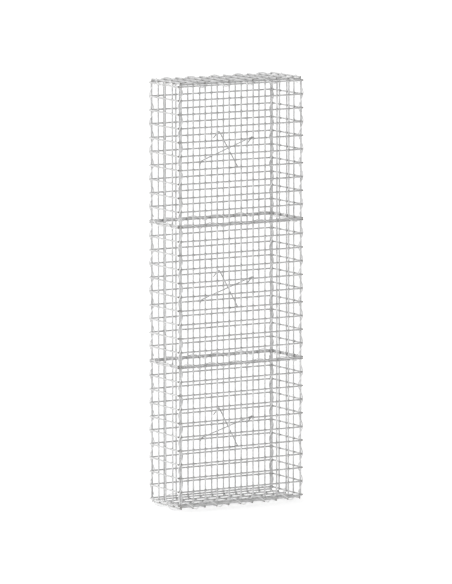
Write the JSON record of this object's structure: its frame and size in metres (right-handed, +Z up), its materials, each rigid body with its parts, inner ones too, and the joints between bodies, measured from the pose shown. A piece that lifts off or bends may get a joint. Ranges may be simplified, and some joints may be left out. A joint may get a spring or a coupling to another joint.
{
  "type": "free-standing gabion wall basket",
  "caption": "Tall narrow free-standing gabion basket of galvanised welded wire mesh in three tiers, closed lid, spiral-bound edges, hooked cross ties, empty.",
  "frame": {"origin": "on the floor, at the middle of the basket's footprint, under its lowest binding spirals", "axes": "+Z up; X runs along the front, +X to its right end; -Y is the front, which faces the viewer"},
  "size_m": [0.5418, 0.2396, 1.5568],
  "materials": {
    "mesh_wire": "hot-dip galvanised 6 mm welded wire, dull zinc grey",
    "spiral_wire": "galvanised 3 mm drawn wire, slightly brighter than the mesh",
    "tie_wire": "galvanised 4 mm drawn wire, hooked by hand"
  },
  "bodies": {
    "root": {"base_panel": "mesh_wire", "base_spiral_front": "spiral_wire", "base_spiral_left": "spiral_wire", "base_spiral_rear": "spiral_wire", "base_spiral_right": "spiral_wire", "corner_spiral_front_left_lower": "spiral_wire", "corner_spiral_front_left_middle": "spiral_wire", "corner_spiral_front_left_upper": "spiral_wire", "corner_spiral_front_right_lower": "spiral_wire", "corner_spiral_front_right_middle": "spiral_wire", "corner_spiral_front_right_upper": "spiral_wire", "corner_spiral_rear_left_lower": "spiral_wire", "corner_spiral_rear_left_middle": "spiral_wire", "corner_spiral_rear_left_upper": "spiral_wire", "corner_spiral_rear_right_lower": "spiral_wire", "corner_spiral_rear_right_middle": "spiral_wire", "corner_spiral_rear_right_upper": "spiral_wire", "cross_ties_lower": "tie_wire", "cross_ties_middle": "tie_wire", "cross_ties_upper": "tie_wire", "front_panel_lower": "mesh_wire", "front_panel_middle": "mesh_wire", "front_panel_upper": "mesh_wire", "joint_spirals_front": "spiral_wire", "joint_spirals_left": "spiral_wire", "joint_spirals_rear": "spiral_wire", "joint_spirals_right": "spiral_wire", "left_panel_lower": "mesh_wire", "left_panel_middle": "mesh_wire", "left_panel_upper": "mesh_wire", "lid_cross_wires": "mesh_wire", "lid_long_wires": "mesh_wire", "lid_spiral_front": "spiral_wire", "lid_spiral_left": "spiral_wire", "lid_spiral_rear": "spiral_wire", "lid_spiral_right": "spiral_wire", "rear_panel_lower": "mesh_wire", "rear_panel_middle": "mesh_wire", "rear_panel_upper": "mesh_wire", "right_panel_lower": "mesh_wire", "right_panel_middle": "mesh_wire", "right_panel_upper": "mesh_wire"}
  },
  "joints": []
}
